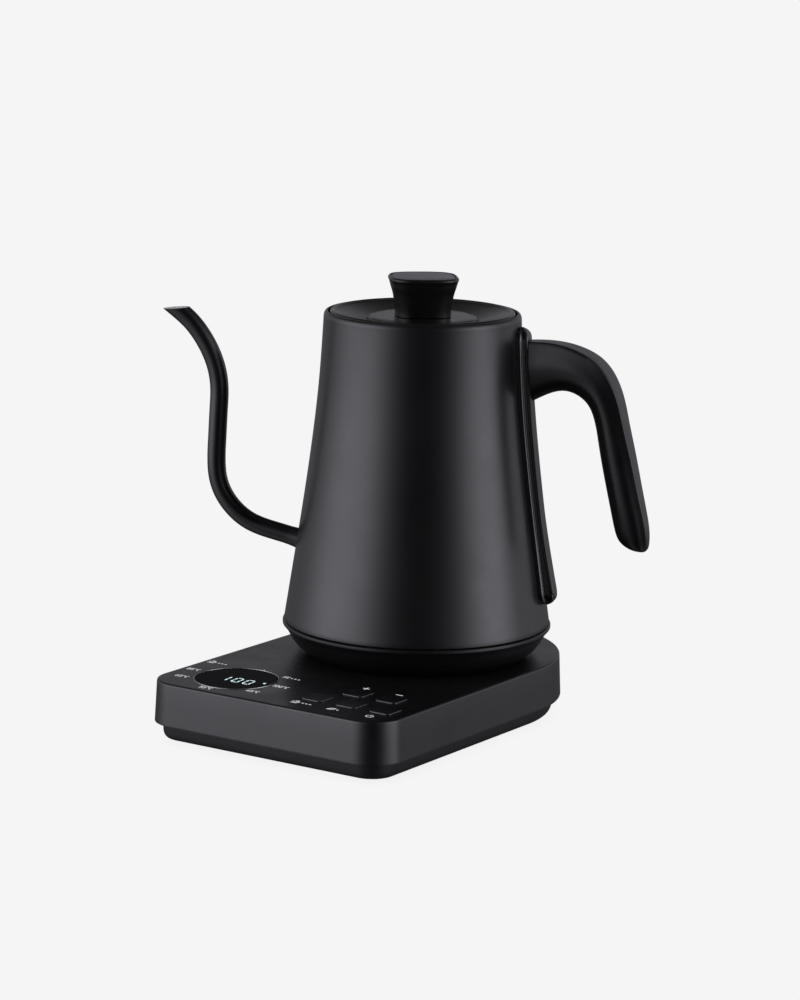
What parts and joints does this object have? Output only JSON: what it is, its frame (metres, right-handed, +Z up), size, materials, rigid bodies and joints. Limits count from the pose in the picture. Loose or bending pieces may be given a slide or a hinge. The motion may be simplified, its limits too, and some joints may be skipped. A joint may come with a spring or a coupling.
{
  "type": "gooseneck kettle",
  "caption": "Electric gooseneck kettle with a matt black tapered body, loop-free pistol handle and lift-off lid, standing on a temperature-control power base with dial display, keys and cord.",
  "frame": {"origin": "centre of the whole set's footprint, cord and plug included, on the plane its feet stand on", "axes": "+Z up; the base lies square to the axes with its keys and display to the front, -Y, and the cord to the back, +Y; the kettle's handle points to +X and a little back, its spout to -X and a little forward"},
  "size_m": [0.2398, 0.283, 0.2231],
  "materials": {
    "body_coat": "satin black powder coat",
    "steel": "brushed",
    "handle_black": "semi-gloss black",
    "lid_coat": "satin warm dark grey",
    "base_shell": "fine matt",
    "base_pan": "matt",
    "key_cap": "satin",
    "lens": "polished black",
    "rubber": "matt",
    "silicone": "soft translucent grey",
    "connector": "moulded",
    "electronic": "moulded",
    "board": "lacquered board",
    "screw_steel": "zinc plated",
    "brass": "plain"
  },
  "bodies": {
    "base": {"base_top_cover": "base_shell", "base_bottom_cover": "base_pan", "display_lens": "lens", "display_module": "electronic", "control_board": "board", "power_board": "board", "relay": "electronic", "switch_cup": "electronic", "switch_leaf": "electronic", "switch_power": "electronic", "switch_plus": "electronic", "switch_minus": "electronic", "base_socket": "connector", "socket_contact_line": "brass", "socket_contact_neutral": "brass", "foot_1": "rubber", "foot_2": "rubber", "foot_3": "rubber", "foot_4": "rubber", "base_screw_1": "screw_steel", "base_screw_2": "screw_steel", "base_screw_3": "screw_steel", "base_screw_4": "screw_steel", "strain_relief": "rubber", "cord": "rubber", "plug": "rubber", "plug_pin_1": "brass", "plug_pin_2": "brass"},
    "shutter": {"socket_shutter": "connector"},
    "kettle": {"kettle_body": "body_coat", "spout": "body_coat", "chamber_floor": "steel", "heating_element": "steel", "thermal_cutout": "electronic", "temperature_sensor": "steel", "sensor_seal": "silicone", "bottom_cover": "body_coat", "cover_screw_1": "screw_steel", "cover_screw_2": "screw_steel", "cover_screw_3": "screw_steel", "kettle_connector": "connector", "kettle_contact_pin": "brass", "kettle_contact_ring": "brass", "handle_rail": "handle_black", "rail_cover": "handle_black", "handle_bracket": "steel", "handle_grip": "handle_black", "grip_screw_1": "screw_steel", "grip_screw_2": "screw_steel"},
    "lid": {"lid_top": "lid_coat", "lid_seal": "silicone", "lid_liner": "steel", "knob": "handle_black", "knob_plate": "body_coat", "knob_screw": "screw_steel"},
    "key_cup": {"key_cup": "key_cap"},
    "key_leaf": {"key_leaf": "key_cap"},
    "key_power": {"key_power": "key_cap"},
    "key_plus": {"key_plus": "key_cap"},
    "key_minus": {"key_minus": "key_cap"}
  },
  "joints": [
    {"name": "kettle_swivel", "type": "hinge", "parent": "base", "child": "shutter", "pos_m": [0.00793, -0.0063, 0.0312], "axis": [0, 0, 1], "continuous": true},
    {"name": "kettle_lift", "type": "slide", "parent": "shutter", "child": "kettle", "axis": [0, 0, 1], "range_m": [0, 0.12]},
    {"name": "lid_lift", "type": "slide", "parent": "kettle", "child": "lid", "axis": [0, 0, 1], "range_m": [0, 0.06]},
    {"name": "key_cup_press", "type": "slide", "parent": "base", "child": "key_cup", "axis": [0, 0, -1], "range_m": [0, 0.0008], "stiffness_N_per_m": 400},
    {"name": "key_leaf_press", "type": "slide", "parent": "base", "child": "key_leaf", "axis": [0, 0, -1], "range_m": [0, 0.0008], "stiffness_N_per_m": 400},
    {"name": "key_power_press", "type": "slide", "parent": "base", "child": "key_power", "axis": [0, 0, -1], "range_m": [0, 0.0008], "stiffness_N_per_m": 400},
    {"name": "key_plus_press", "type": "slide", "parent": "base", "child": "key_plus", "axis": [0, 0, -1], "range_m": [0, 0.0008], "stiffness_N_per_m": 400},
    {"name": "key_minus_press", "type": "slide", "parent": "base", "child": "key_minus", "axis": [0, 0, -1], "range_m": [0, 0.0008], "stiffness_N_per_m": 400}
  ]
}
